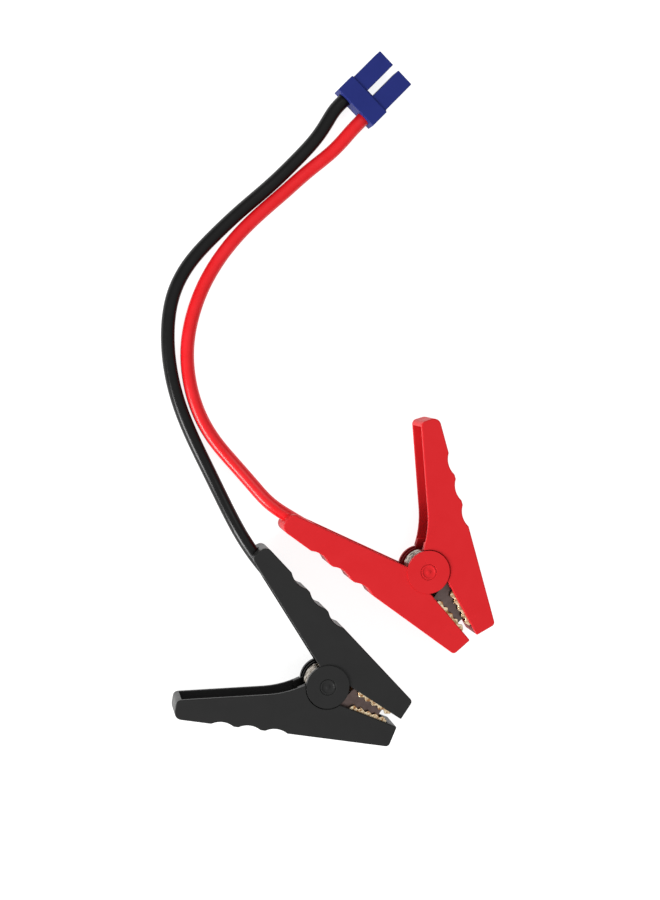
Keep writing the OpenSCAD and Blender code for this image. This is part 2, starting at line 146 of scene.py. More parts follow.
# Points of the middle lines: x, y and how far the cable is lifted. 0 lies on the table.
red_route = [(1.5, 117, 0.3), (-10.6, 108.1, 0), (-21.7, 97.75, 0), (-33.2, 88.2, 0), (-44.15, 77.65, 0),
             (-53.5, 66, 0), (-61, 53, 0), (-66, 39, 0), (-68.5, 24.5, 0), (-67.5, 9.5, 0), (-63.5, -5, 0),
             (-56.5, -18, 0), (-46.5, -29.5, 0.2), (-37.5, -40, 0.6), (-31, -48, 0.9), (-22, -54, 1),
             (-11, -60.5, 1), (-3, -66.5, 1)]
black_route = [(-5.2, 124.2, 0.3), (-16.6, 112.3, 0), (-28.8, 100.3, 0), (-42.35, 89.3, 0), (-54.9, 77.4, 0),
               (-67, 65, 0), (-75, 50.5, 0), (-77.5, 33.5, 0), (-76.5, 16, 0), (-72.5, -1, 0), (-66, -17, 0),
               (-58.5, -32.5, 0.1), (-51.5, -47.5, 0.45), (-45.5, -60, 0.85), (-38.5, -71.5, 1), (-30, -82, 1),
               (-23.5, -89, 1)]


def in_plug(x, y):
    """A point of the plug's own frame, in which x runs from the cap's back to the tips, on the table."""
    flat = Vector((x, y))
    flat.rotate(Matrix.Rotation(plug_turn, 2))
    return Vector((*(plug_place + flat), plug_thick/2))


def smooth(points, count):
    """A cubic B-spline from the first point to the last, with count steps a span."""
    q = [2*points[0] - points[1], *points, 2*points[-1] - points[-2]]
    line = []
    for a, b, c, d in zip(q, q[1:], q[2:], q[3:]):
        for t in (k/count for k in range(count)):
            line.append(((1 - t)**3*a + (3*t**3 - 6*t*t + 4)*b + (3*t + 3*t*t - 3*t**3 + 1)*c + t**3*d)/6)
    return line + [points[-1]]


def cable_line(side, route, count):
    """The cable's middle line, from inside the plug to inside the handle."""
    points = [in_plug(x, side*contact_pitch/2) for x in (jacket_in_plug, -2, -8)]
    for i, (x, y, lift) in enumerate(route):
        top = plug_thick/2 if i == 0 else clamp_middle
        points.append(Vector((x, y, cable_d/2 + lift*(top - cable_d/2))))
    return smooth(points, count)


def mesh_object(name, mesh, material=None):
    """A new object at the origin for a finished mesh."""
    obj = bpy.data.objects.new(name, mesh)
    scene.collection.objects.link(obj)
    if material:
        mesh.materials.clear()
        mesh.materials.append(material)
    return obj


def jacket(name, line, material):
    """A round tube along line, cut square, with its map in millimetres: round it, and along it."""
    sides, radius = 32, cable_d/2
    bm = bmesh.new()
    uv = bm.loops.layers.uv.new("along")
    rings, run, side = [], [0.0], None
    for i, p in enumerate(line):
        way = (line[min(i + 1, len(line) - 1)] - line[max(i - 1, 0)]).normalized()
        side = side or Vector((0, 0, 1)).cross(way)
        side = (side - side.dot(way)*way).normalized()
        over = way.cross(side)
        if i:
            run.append(run[-1] + (p - line[i - 1]).length)
        rings.append([bm.verts.new((p + radius*(cos(2*pi*k/sides)*side + sin(2*pi*k/sides)*over))*mm)
                      for k in range(sides)])
    for i, (a, b) in enumerate(zip(rings, rings[1:])):
        for k in range(sides):
            made = bm.faces.new((a[k], a[(k + 1) % sides], b[(k + 1) % sides], b[k]))
            made.smooth = True
            corners = ((k, run[i]), (k + 1, run[i]), (k + 1, run[i + 1]), (k, run[i + 1]))
            for loop, (u, v) in zip(made.loops, corners):
                loop[uv].uv = (u/sides*pi*cable_d, v)
    for ring in (rings[0][::-1], rings[-1]):
        for loop in bm.faces.new(ring).loops:
            loop[uv].uv = (0, 0)
    mesh = bpy.data.meshes.new(name)
    bm.to_mesh(mesh)
    bm.free()
    return mesh_object(name, mesh, material)


def silicone(name, colour, dusty, rough, sheen):
    """Extruded silicone rubber: glossy and slightly soft-looking, with faint drawn lines along it and a thin
    uneven film of dust, which the rubber holds on to."""
    made, tree, shader, place = start_material(name)
    along = add(tree, "ShaderNodeUVMap", uv_map="along")
    # The die's lines are finer than would show: they are drawn 0.5 mm wide round the jacket, and 30 mm long
    drawn = add(tree, "ShaderNodeMapping", {"Vector": along, "Scale": (1/0.5, 1/30, 1)})
    lines = add(tree, "ShaderNodeTexNoise", {"Vector": drawn, "Scale": 1, "Detail": 2})
    # Patches of dust 9 mm wide
    film = add(tree, "ShaderNodeTexNoise", {"Vector": place, "Scale": 1/(9*mm), "Detail": 5, "Roughness": 0.6})
    patch = add(tree, "ShaderNodeMapRange", {"Value": film, "From Min": 0.35, "From Max": 0.75})
    tone = add(tree, "ShaderNodeMix", {0: patch, 6: paint(colour), 7: paint(dusty)}, data_type="RGBA")
    gloss = add(tree, "ShaderNodeMapRange", {"Value": patch, "To Min": rough, "To Max": rough + 0.1})
    bump = add(tree, "ShaderNodeBump", {"Height": lines, "Strength": 0.25, "Distance": 0.05*mm})
    connect(shader, {"Base Color": tone.outputs[2], "Roughness": gloss, "Normal": bump, "IOR": 1.42,
                     "Specular IOR Level": sheen})
    return made


for colour, side, route, length, rubber in (
        ("red", -1, red_route, 263, silicone("red_silicone_rubber", "d21218", "d81c24", 0.26, 0.35)),
        ("black", 1, black_route, 281, silicone("black_silicone_rubber", "070707", "0c0c0c", 0.24, 0.3))):
    line = cable_line(side, route, 10)
    cable = jacket(f"{colour}_silicone_cable", line, rubber)
    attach(cable, "lead")
    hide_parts(f"{colour}_cable")
    in_plug(0, side*contact_pitch/2)*mm


# ---------------------------------------------------------------------------------------------------------
# The plug: two square prongs on one moulded body, and a back cap pushed over its tenon. Both are blue
# glass-filled nylon, injection moulded, so every outer edge has a small radius and the faces a matt grain.
def reach(loop):
    """How far a loop's face goes on inwards from the loop's edge, at its narrowest."""
    start, way = loop.vert.co, loop.link_loop_next.vert.co - loop.vert.co
    inwards = loop.face.normal.cross(way).normalized()
    found = [1.0]
    for share in (0.05, 0.5, 0.95):
        spot = start + share*way
        for other in loop.face.loops:
            a, b = other.vert.co - spot, other.link_loop_next.vert.co - spot
            u, v = a.dot(way), b.dot(way)
            if other is not loop and u*v < 0:
                far = (a.dot(inwards)*v - b.dot(inwards)*u)/(v - u)
                found += [far] if far > 1e-6 else []
    return min(found)


def applied(obj):
    """The object with its modifiers made part of its mesh."""
    mesh = bpy.data.meshes.new_from_object(obj.evaluated_get(bpy.context.evaluated_depsgraph_get()))
    obj.modifiers.clear()
    mesh.name = obj.name
    obj.data = mesh
    return obj


def softened(node, radius, name, material):
    """A copy of a CAD node, its triangles joined into whole faces and its outer edges rounded, each to the
    radius or to what the faces beside it leave room for."""
    # Angles are in radians. A rounding takes up at most the share room of the narrowest face beside it.
    outer_edge, soft_bend, crease, room, swell = 0.5, 0.7, 0.75, 0.42, 0.4
    bm = bmesh.new()
    bm.from_mesh(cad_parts[node].data)
    bmesh.ops.remove_doubles(bm, verts=bm.verts, dist=0.001*mm)
    bmesh.ops.dissolve_limit(bm, angle_limit=0.01, verts=bm.verts, edges=bm.edges)
    weight = bm.edges.layers.float.new("bevel_weight_edge")
    for face in bm.faces:
        face.smooth = True
    for edge in bm.edges:
        if edge.is_convex and edge.calc_face_angle(0) > outer_edge:
            edge[weight] = min(1, room*min(reach(loop) for loop in edge.link_loops)/(radius*mm))
    # Along a curved rim the rounding may only swell slowly, or its outline would cross itself
    rims = [[e for e in v.link_edges if e[weight]] for v in bm.verts]
    for _ in range(20):
        for vert, rim in zip(bm.verts, rims):
            for one in rim:
                for other in rim:
                    bend = (vert.co - one.other_vert(vert).co).angle(other.other_vert(vert).co - vert.co)
                    if one is not other and bend < soft_bend:
                        more = swell*other.calc_length()*bend/(radius*mm)
                        other[weight] = min(other[weight], one[weight] + more)
    mesh = bpy.data.meshes.new(name)
    bm.to_mesh(mesh)
    bm.free()
    obj = mesh_object(name, mesh, material)
    bevel = obj.modifiers.new("rounding", "BEVEL")
    bevel.limit_method, bevel.width, bevel.segments = "WEIGHT", radius*mm, 3
    bevel.use_clamp_overlap, bevel.miter_outer = False, "MITER_ARC"
    applied(obj).data.set_sharp_from_angle(angle=crease)
    flat = obj.modifiers.new("flat faces stay flat", "WEIGHTED_NORMAL")
    flat.mode, flat.weight, flat.keep_sharp = "FACE_AREA", 100, True
    return applied(obj)


def moulded(name, colour, second, rough, sheen):
    """Injection-moulded plastic: even colour with faint clouds where the melt flowed, and the fine pebble of a
    spark-eroded mould, which spreads the shine."""
    made, tree, shader, place = start_material(name)
    # Flow clouds of 12 mm
    cloud = add(tree, "ShaderNodeTexNoise", {"Vector": place, "Scale": 1/(12*mm), "Detail": 4, "Roughness": 0.55,
                                             "Distortion": 0.6})
    tone = add(tree, "ShaderNodeMix", {0: cloud, 6: paint(colour), 7: paint(second)}, data_type="RGBA")
    gloss = add(tree, "ShaderNodeMapRange", {"Value": cloud, "From Min": 0.3, "From Max": 0.7,
                                             "To Min": rough - 0.04, "To Max": rough + 0.04})
    # The pebble, really about 0.05 mm wide, is drawn 0.25 mm wide so that it shows, and 0.012 mm deep
    pebble = add(tree, "ShaderNodeTexNoise", {"Vector": place, "Scale": 1/(0.25*mm), "Detail": 2})
    bump = add(tree, "ShaderNodeBump", {"Height": pebble, "Strength": 0.6, "Distance": 0.012*mm})
    connect(shader, {"Base Color": tone.outputs[2], "Roughness": gloss, "Normal": bump, "IOR": 1.5,
                     "Specular IOR Level": sheen})
    return made


def belongs(obj, body, slot, *nodes):
    """Says which body obj moves with and hides the CAD nodes it stands for. Its slot, the finish, is not used."""
    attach(obj, body)
    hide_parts(*nodes)


blue_nylon = moulded("blue_glass_filled_nylon", "1f2867", "262f73", 0.45, sheen=0.05)
plug_edge = 0.45
belongs(softened("plug_body", plug_edge, "plug_prong_body", blue_nylon), "lead", "blue_nylon", "plug_body")
belongs(softened("plug_back_cap", plug_edge, "plug_cap", blue_nylon), "lead", "blue_nylon", "plug_back_cap")


# ---------------------------------------------------------------------------------------------------------
# The contacts in the prongs: turned brass tubes, gold plated, with a solder cup behind and a socket in front.
# They are pushed into the body from behind and held by the cap.
def metal(name, bright, dull, patch, detail, rough, rougher=None, tarnish=None):
    """A bare or plated metal, in patches of this size that go from bright to dull, and from rough to rougher
    where that is given. Their edges are soft, or harder where tarnish gives the part of the noise they span."""
    made, tree, shader, place = start_material(name)
    wear = add(tree, "ShaderNodeTexNoise", {"Vector": place, "Scale": 1/(patch*mm), "Detail": detail})
    if tarnish:
        wear = add(tree, "ShaderNodeMapRange", {"Value": wear, "From Min": tarnish[0], "From Max": tarnish[1]})
    tone = add(tree, "ShaderNodeMix", {0: wear, 6: paint(bright), 7: paint(dull)}, data_type="RGBA")
    if rougher:
        rough = add(tree, "ShaderNodeMapRange", {"Value": wear, "To Min": rough, "To Max": rougher})
    connect(shader, {"Base Color": tone.outputs[2], "Metallic": 1, "Roughness": rough})
    return made


# Thin gold over turned brass: warm and bright, duller where pins have slid, in patches of 1.5 mm
gold = metal("gold_plated_brass", "d9b15a", "c89a48", 1.5, 4, 0.18, 0.34)
turned_edge = 0.12
for pole in ("positive", "negative"):
    belongs(softened(f"{pole}_contact", turned_edge, f"{pole}_bullet_socket", gold), "lead", "gilt_contact",
            f"{pole}_contact")


# ---------------------------------------------------------------------------------------------------------
# The bared ends of the conductors: fine copper strands, twisted together, soldered in the contacts' cups and
# crimped in the lugs. One bundle has rings of 1, 6, 12 and 18 strands, drawn coarser than the real wire.
# Bare copper, pink where it is fresh and brown where it has aged, in patches of 0.8 mm
strand_copper = metal("bare_stranded_copper", "c9794a", "9c5a35", 0.8, 3, 0.35)


def new_tree(name, **inputs):
    """A Geometry Nodes group with these named inputs, the sockets that give them, and its output node."""
    kinds = {float: "NodeSocketFloat", int: "NodeSocketInt", tuple: "NodeSocketVector"}
    tree = bpy.data.node_groups.new(name, "GeometryNodeTree")
    tree.interface.new_socket("Geometry", in_out="INPUT", socket_type="NodeSocketGeometry")
    for label, value in inputs.items():
        socket = tree.interface.new_socket(label.replace("_", " "), in_out="INPUT", socket_type=kinds[type(value)])
        socket.default_value = value
    tree.interface.new_socket("Geometry", in_out="OUTPUT", socket_type="NodeSocketGeometry")
    return tree, tree.nodes.new("NodeGroupInput").outputs, tree.nodes.new("NodeGroupOutput")


def finish_tree(tree, shape, material, end):
    """Makes the shape real and smooth, gives it its material and sends it out."""
    real = add(tree, "GeometryNodeRealizeInstances", [shape])
    even = add(tree, "GeometryNodeSetShadeSmooth", [real])
    connect(end, {0: add(tree, "GeometryNodeSetMaterial", {0: even, "Material": material})})


def grown(tree, start=None, **values):
    """The mesh that a tree makes from the start mesh and these inputs."""
    obj = mesh_object("growing", start or bpy.data.meshes.new("start"))
    modifier = obj.modifiers.new("tree", "NODES")
    modifier.node_group = tree
    for item in tree.interface.items_tree:
        if item.in_out == "INPUT" and item.name.replace(" ", "_") in values:
            modifier[item.identifier] = values[item.name.replace(" ", "_")]
    mesh = bpy.data.meshes.new_from_object(obj.evaluated_get(bpy.context.evaluated_depsgraph_get()))
    bpy.data.objects.remove(obj)
    return mesh


strand_tree, given, end = new_tree("strand bundle", Strand_diameter=0.6, Length=6.0, Twist=0.6)
tree = strand_tree
rings = add(tree, "GeometryNodeJoinGeometry")
for ring, count in enumerate((1, 6, 12, 18)):
    radius = add(tree, "ShaderNodeMath", [given["Strand diameter"], ring], operation="MULTIPLY")
    made = add(tree, "GeometryNodeMeshCircle", {"Vertices": max(count, 3), "Radius": radius})
    connect(rings, {0: add(tree, "GeometryNodeMergeByDistance", [made])})
tip = add(tree, "ShaderNodeCombineXYZ", {"Z": given["Length"]})
line = add(tree, "GeometryNodeCurvePrimitiveLine", {"End": tip})
line = add(tree, "GeometryNodeResampleCurve", {0: line, "Count": 7})
many = add(tree, "GeometryNodeInstanceOnPoints", {"Points": rings, "Instance": line})
many = add(tree, "GeometryNodeRealizeInstances", [many])
spot = add(tree, "GeometryNodeInputPosition")
height = add(tree, "ShaderNodeSeparateXYZ", [spot]).outputs["Z"]
share = add(tree, "ShaderNodeMath", [height, given["Length"]], operation="DIVIDE")
angle = add(tree, "ShaderNodeMath", [share, given["Twist"]], operation="MULTIPLY")
laid = add(tree, "ShaderNodeVectorRotate", {"Vector": spot, "Angle": angle}, rotation_type="Z_AXIS")
laid = add(tree, "GeometryNodeSetPosition", {0: many, "Position": laid})
radius = add(tree, "ShaderNodeMath", [given["Strand diameter"], 0.5], operation="MULTIPLY")
wire = add(tree, "GeometryNodeCurvePrimitiveCircle", {"Resolution": 8, "Radius": radius})
swept = add(tree, "GeometryNodeCurveToMesh", {0: laid, 1: wire, "Fill Caps": True})
finish_tree(tree, swept, strand_copper, end)


def joined(name, meshes):
    """One mesh object from several meshes."""
    bm = bmesh.new()
    for mesh in meshes:
        bm.from_mesh(mesh)
    whole = bpy.data.meshes.new(name)
    bm.to_mesh(whole)
    bm.free()
    whole.materials.append(meshes[0].materials[0])
    return mesh_object(name, whole)


def placed(mesh, own_frame):
    """The mesh moved from millimetres in a piece's own frame to metres on the table."""
    mesh.transform(Matrix.Scale(mm, 4) @ own_frame)
    if own_frame.determinant() < 0:
        mesh.flip_normals()
    return mesh


# A clamp's own frame has the pivot as z and the cable half along x, its back edge towards -y. A half's frame
# has its own back edge towards +y. The black clamp lies turned over.
jaw_l, back_y, jaw_tip_h, tip_gap = 36, 24.4, 9.9, 4.1
jacket_end, seat_y, barrel_l, cup_l = -46, 16.4, 10, 6.4
tip = Vector((jaw_l, back_y - jaw_tip_h))
closed_angle = 2*(atan2(tip.y, tip.x) - asin(tip_gap/2/tip.length))
on_plug = Matrix.Translation((*plug_place, plug_thick/2)) @ Matrix.Rotation(plug_turn, 4, "Z")
lay_along_x = Matrix.Rotation(pi/2, 4, "Y")
on_clamp, cable_half, free_half = {}, {}, {}
for colour, side, route, turned_over in (("red", -1, red_route, 0), ("black", 1, black_route, pi)):
    before, last = cable_line(side, route, 2)[-2:]
    on_clamp[colour] = (Matrix.Translation((last.x, last.y, clamp_middle))
                        @ Matrix.Rotation(atan2(last.y - before.y, last.x - before.x), 4, "Z")
                        @ Matrix.Rotation(turned_over, 4, "X")
                        @ Matrix.Translation((-jacket_end, seat_y, 0)))
    cable_half[colour] = on_clamp[colour] @ Matrix.Diagonal((1, -1, 1, 1))
    free_half[colour] = on_clamp[colour] @ Matrix.Rotation(-closed_angle, 4, "Z")
    cup = on_plug @ Matrix.Translation((jacket_in_plug, side*contact_pitch/2, 0)) @ lay_along_x
    lug = cable_half[colour] @ Matrix.Translation((jacket_end, seat_y, 0)) @ lay_along_x
    strands = [placed(grown(strand_tree, Length=cup_l, Twist=0.5), cup),
               placed(grown(strand_tree, Length=barrel_l - 0.1, Twist=0.8), lug)]
    belongs(joined(f"{colour}_bare_strands", strands), "lead", "copper_strand", f"{colour}_conductor_ends")


# ---------------------------------------------------------------------------------------------------------
# The clamps' moulded halves: red and black ABS, injection moulded as open channels with finger grips. The
# cable half has round ears outside and the free half has ears inside them. Inside, round the pivot, shade
# is painted into the plastic's colour.
def painted_pivot_shade(made, pivot, dark):
    """Paints shade into a plastic's colour inside the clamp's walls: darkest round the pivot, up to the
    inner ears' rims, and less and less from there."""
    ear_rim, shade_ends_at, wall, darkest = 9.5*mm, 14*mm, 10.45*mm, 0.85
    tree, shader = made.node_tree, made.node_tree.nodes["Principled BSDF"]
    unshaded = shader.inputs["Base Color"].links[0].from_socket
    place = add(tree, "ShaderNodeTexCoord").outputs["Object"]
    spot = add(tree, "ShaderNodeVectorMath", [place, pivot], operation="SUBTRACT")
    flat = add(tree, "ShaderNodeVectorMath", [spot, (1, 1, 0)], operation="MULTIPLY")
    away = add(tree, "ShaderNodeVectorMath", [flat], operation="LENGTH").outputs["Value"]
    near = add(tree, "ShaderNodeMapRange", {"Value": away, "From Min": ear_rim, "From Max": shade_ends_at,
                                            "To Min": darkest, "To Max": 0.0})
    height = add(tree, "ShaderNodeSeparateXYZ", [spot]).outputs["Z"]
    height = add(tree, "ShaderNodeMath", [height], operation="ABSOLUTE")
    inside = add(tree, "ShaderNodeMath", [height, wall], operation="LESS_THAN")
    film = add(tree, "ShaderNodeMath", [near, inside], operation="MULTIPLY")
    # The painted shade: the plastic's colour goes towards the dark colour round the pivot
    film = add(tree, "ShaderNodeMix", {0: film, 6: unshaded, 7: paint(dark)}, data_type="RGBA")
    connect(shader, {"Base Color": film.outputs[2]})


red_abs = moulded("red_moulded_abs", "c42125", "ca282c", 0.42, sheen=0.05)
black_abs = moulded("black_moulded_abs", "242424", "282828", 0.36, sheen=0.1)
shell_edge = 0.55
# Each plastic with the colour of its painted shade round the pivot, inside the clamp's walls
for colour, plastic, dark in (("red", red_abs, "4a080c"), ("black", black_abs, "0a0a0a")):
    painted_pivot_shade(plastic, on_clamp[colour].translation*mm, dark)
    for half, body in (("cable", "lead"), ("free", f"{colour}_free_jaw")):
        shell = softened(f"{colour}_{half}_jaw_shell", shell_edge, f"{colour}_{half}_half", plastic)
        belongs(shell, body, f"{colour}_plastic", f"{colour}_{half}_jaw_shell")


# ---------------------------------------------------------------------------------------------------------
# The jaw plates: 1 mm steel sheet, blanked with teeth, folded into channels and copper plated. The cable
# half's has two cheeks that close the sides of the mouth. The toothed flanges are a bright cream, partly
# worn by battery posts and partly painted highlight, and the rest brown, partly tarnish and partly painted shade.
copper_plate, tree, shader, place = start_material("copper_plated_steel")
# Tarnish in patches of 5 mm, which also dull the shine, on a brown that is partly painted shade
tarnish = add(tree, "ShaderNodeTexNoise", {"Vector": place, "Scale": 1/(5*mm), "Detail": 5, "Roughness": 0.65})
tarnish_and_shade = add(tree, "ShaderNodeMix", {0: tarnish, 6: paint("806f6c"), 7: paint("453a36")}, data_type="RGBA")
gloss = add(tree, "ShaderNodeMapRange", {"Value": tarnish, "To Min": 0.22, "To Max": 0.42})
# Scuffs of 1.5 mm on the teeth, down to the brown under the bright plating, whose cream is partly painted highlight
scuffs = add(tree, "ShaderNodeTexNoise", {"Vector": place, "Scale": 1/(1.5*mm), "Detail": 2})
scuffs = add(tree, "ShaderNodeMapRange", {"Value": scuffs, "From Min": 0.42, "From Max": 0.6})
wear_and_highlight = add(tree, "ShaderNodeMix", {0: scuffs, 6: paint("fbe8c2"), 7: paint("a47446")}, data_type="RGBA")
# The flanges take the cream of wear and painted highlight, the rest the brown of tarnish and painted shade
rubbed = add(tree, "ShaderNodeAttribute", attribute_name="rubbed").outputs["Fac"]
tone = add(tree, "ShaderNodeMix", {0: rubbed, 6: tarnish_and_shade.outputs[2], 7: wear_and_highlight.outputs[2]}, data_type="RGBA")
# Rolling lines, finer than would show in real sheet, are drawn 0.4 mm wide and 20 times as long
rolled = add(tree, "ShaderNodeMapping", {"Vector": place, "Scale": (1, 1, 1/20)})
rolled = add(tree, "ShaderNodeTexNoise", {"Vector": rolled, "Scale": 1/(0.4*mm), "Detail": 2})
bump = add(tree, "ShaderNodeBump", {"Height": rolled, "Strength": 0.3, "Distance": 0.02*mm})
connect(shader, {"Base Color": tone.outputs[2], "Metallic": 1, "Roughness": gloss, "Normal": bump})


def mark_worn_highlit_flanges(obj):
    """Marks the toothed flanges of a plate, which lie this far from the clamp's middle, for the cream of wear and
    painted highlight.
    """
    flange = 6.9*mm
    bm = bmesh.new()
    bm.from_mesh(obj.data)
    mark = bm.faces.layers.float.new("rubbed")
    for face in bm.faces:
        face[mark] = abs(face.calc_center_median().z - clamp_middle*mm) > flange
    bm.to_mesh(obj.data)
    bm.free()
    return obj


plate_edge = 0.22
for colour in ("red", "black"):
    for half, body in (("cable", "lead"), ("free", f"{colour}_free_jaw")):
        plate = softened(f"{colour}_{half}_jaw_plate", plate_edge, f"{colour}_{half}_toothed_plate", copper_plate)
        belongs(mark_worn_highlit_flanges(plate), body, "coppered_steel", f"{colour}_{half}_jaw_plate")


# ---------------------------------------------------------------------------------------------------------
# The screws: pan-head, cross-recessed, zinc plated. Two hold each toothed plate and a larger one each lug.
# Zinc plate is bluish and clean, with a dull bloom in patches of 1.2 mm.
zinc = metal("zinc_plated_steel", "c9ccd1", "aeb0ac", 1.2, 4, 0.22, 0.4)


def lathed(name, outline, sides, material):
    """A solid turned about z from an outline of (radius, height) points, which starts and ends on the axis."""
    bm = bmesh.new()
    rings = [[bm.verts.new((r*cos(2*pi*k/sides), r*sin(2*pi*k/sides), z)) for k in range(sides if r else 1)]
             for r, z in outline]
    for a, b in zip(rings, rings[1:]):
        for k in range(sides):
            corners = [a[k % len(a)], a[(k + 1) % len(a)], b[(k + 1) % len(b)], b[k % len(b)]]
            bm.faces.new(list(dict.fromkeys(corners)))
    bmesh.ops.recalc_face_normals(bm, faces=bm.faces)
    mesh = bpy.data.meshes.new(name)
    bm.to_mesh(mesh)
    bm.free()
    mesh.materials.append(material)
    mesh.shade_smooth()
    mesh.set_sharp_from_angle(angle=0.6)
    return mesh


def cut(name, mesh, cutter, crossed=False):
    """An object of the mesh with the cutter mesh taken away. Crossed says that parts of the cutter overlap."""
    body, tool = mesh_object(name, mesh), mesh_object("cutter", cutter)
    away = body.modifiers.new("cut", "BOOLEAN")
    away.object, away.solver, away.use_self = tool, "EXACT", crossed
    applied(body)
    bpy.data.objects.remove(tool)
    return body


def screw_pattern(head_r, head_h, shank_r, shank_l):
    """A pan-head screw down the z axis, its seat at z = 0, with rolled thread ridges and a cross recess."""
    outline = [(0, head_h), (0.55*head_r, head_h), (0.85*head_r, 0.86*head_h), (head_r, 0.5*head_h), (head_r, 0),
               (shank_r, 0)]
    pitch, thread = 0.5, 0.22
    for i in range(int((shank_l - 1)/pitch)):
        outline += [(shank_r, -pitch*(i + 0.15)), (shank_r - thread, -pitch*(i + 0.5)),
                    (shank_r - thread, -pitch*(i + 0.7))]
    outline += [(shank_r, 0.8 - shank_l), (0.5*shank_r, -shank_l), (0, -shank_l)]
    bm = bmesh.new()
    for wide, long in ((0.22*head_r, 0.6*head_r), (0.6*head_r, 0.22*head_r)):
        for v in bmesh.ops.create_cube(bm, size=2)["verts"]:
            deep = 0.75 if v.co.z < 0 else 1
            v.co = (v.co.x*wide*deep, v.co.y*long*deep, head_h + v.co.z*0.55*head_h)
    recess = bpy.data.meshes.new("recess")
    bm.to_mesh(recess)
    bm.free()
    recess.materials.append(zinc)
    screw = cut("screw", lathed("screw", outline, 24, zinc), recess, crossed=True)
    screw.data.set_sharp_from_angle(angle=0.6)
    return screw


screw_tree, given, end = new_tree("row of screws")
screw_tree.interface.new_socket("Screw", in_out="INPUT", socket_type="NodeSocketObject")
pattern = add(screw_tree, "GeometryNodeObjectInfo", {"Object": given["Screw"]}).outputs["Geometry"]
many = add(screw_tree, "GeometryNodeInstanceOnPoints", {"Points": given["Geometry"], "Instance": pattern,
                                                        "Rotation": (pi/2, 0, 0)})
many = add(screw_tree, "GeometryNodeRealizeInstances", [many])
connect(end, {0: add(screw_tree, "GeometryNodeSetMaterial", {0: many, "Material": zinc})})


def screws(places, pattern):
    """A mesh of screws at (x, seat height) points of a half, driven outwards."""
    spots = bpy.data.meshes.new("spots")
    spots.from_pydata([(x, y, 0) for x, y in places], [], [])
    return grown(screw_tree, spots, Screw=pattern)


# The first plate screw sits on the braid's flattened end, the second on the plate, and the lug's on its palm
web_y, braid_t, palm_t = 18.7, 1, 1.2
plate_screw_x, lug_screw_x = (14, 27), -27
plate_screw, lug_screw = screw_pattern(2.6, 1.8, 1.35, 4.2), screw_pattern(3.4, 2.2, 1.85, 5.2)
for colour in ("red", "black"):
    for half, body, where in (("cable", "lead", cable_half), ("free", f"{colour}_free_jaw", free_half)):
        pair = screws(zip(plate_screw_x, (web_y - braid_t, web_y)), plate_screw)
        belongs(joined(f"{colour}_{half}_screws", [placed(pair, where[colour])]), body, "zinc_steel",
                f"{colour}_{half}_plate_screws")
    one = placed(screws([(lug_screw_x, web_y - palm_t)], lug_screw), cable_half[colour])
    belongs(joined(f"{colour}_lug_screw_m4", [one]), "lead", "zinc_steel", f"{colour}_lug_screw")
for pattern in (plate_screw, lug_screw):
    bpy.data.objects.remove(pattern)


# ---------------------------------------------------------------------------------------------------------
# The lugs: copper tube, tinned, crimped hexagonally on the strands and pressed flat into a drilled palm.
# Tin is soft and grey-white, with duller marks of 1.6 mm where the crimping tool bit.
tinned = metal("tinned_copper", "cfcac0", "b3aca0", 1.6, 4, 0.28, 0.45)


def lug_mesh():
    """The lug in its half's own frame: a bore, a barrel with a hexagonal crimp, a neck and a palm."""
    sides, bm, rings = 48, bmesh.new(), []
    bore, barrel, palm_y, hole_r = 2.15, 2.9, web_y - palm_t/2, 2.1

    def ring(x, y, high, wide, square=2.0, crimp=0.0):
        """Adds a section across the lug, rounder or squarer, and pressed to a hexagon by crimp."""
        verts = []
        for k in range(sides):
            a = 2*pi*k/sides
            up, across = cos(a), sin(a)
            stretch = (abs(up)**square + abs(across)**square)**(-1/square)
            if crimp:
                flat = 0.86/cos((a + pi/6) % (pi/3) - pi/6)
                stretch *= 1 - crimp*(1 - min(1, flat))
            verts.append(bm.verts.new((x, y + high*up*stretch, wide*across*stretch)))
        rings.append(verts)

    for x, r in ((-36, bore), (-44.7, bore), (-45, 2.4), (-45, 2.75), (-44.85, barrel)):
        ring(x, seat_y, r, r)
    for x, crimp in ((-43.2, 0), (-42.7, 0.5), (-42.3, 1), (-38.7, 1), (-38.3, 0.5), (-37.8, 0), (-36.4, 0)):
        ring(x, seat_y, barrel, barrel, crimp=crimp)
    for x, y, high, wide, square in ((-35.6, 16.6, 2.6, 3.05, 2.2), (-34.7, 17.1, 1.6, 3.6, 3),
                                     (-33.9, 17.6, 1, 3.95, 5), (-33, 18.0, 0.66, 4.15, 8),
                                     (-32, palm_y, 0.6, 4.2, 12), (-25.5, palm_y, 0.6, 4.2, 12),
                                     (-24, palm_y, 0.6, 3.9, 12), (-22.9, palm_y, 0.6, 3.1, 12),
                                     (-22.2, palm_y, 0.58, 2.1, 10), (-22, palm_y, 0.45, 1.5, 8)):
        ring(x, y, high, wide, square)
    for a, b in zip(rings, rings[1:]):
        for k in range(sides):
            bm.faces.new((a[k], a[(k + 1) % sides], b[(k + 1) % sides], b[k]))
    bm.faces.new(rings[0])
    bm.faces.new(rings[-1])
    bmesh.ops.recalc_face_normals(bm, faces=bm.faces)
    mesh = bpy.data.meshes.new("lug")
    bm.to_mesh(mesh)
    bm.free()
    mesh.materials.append(tinned)
    drill = lathed("drill", [(0, -3), (hole_r, -3), (hole_r, 3), (0, 3)], 32, tinned)
    drill.transform(Matrix.Translation((lug_screw_x, palm_y, 0)) @ Matrix.Rotation(pi/2, 4, "X"))
    body = cut("lug", mesh, drill)
    mesh = body.data
    bpy.data.objects.remove(body)
    mesh.shade_smooth()
    mesh.set_sharp_from_angle(angle=0.7)
    return mesh


for colour in ("red", "black"):
    lug = joined(f"{colour}_crimped_lug", [placed(lug_mesh(), cable_half[colour])])
    belongs(lug, "lead", "tinned_copper", f"{colour}_cable_lug")


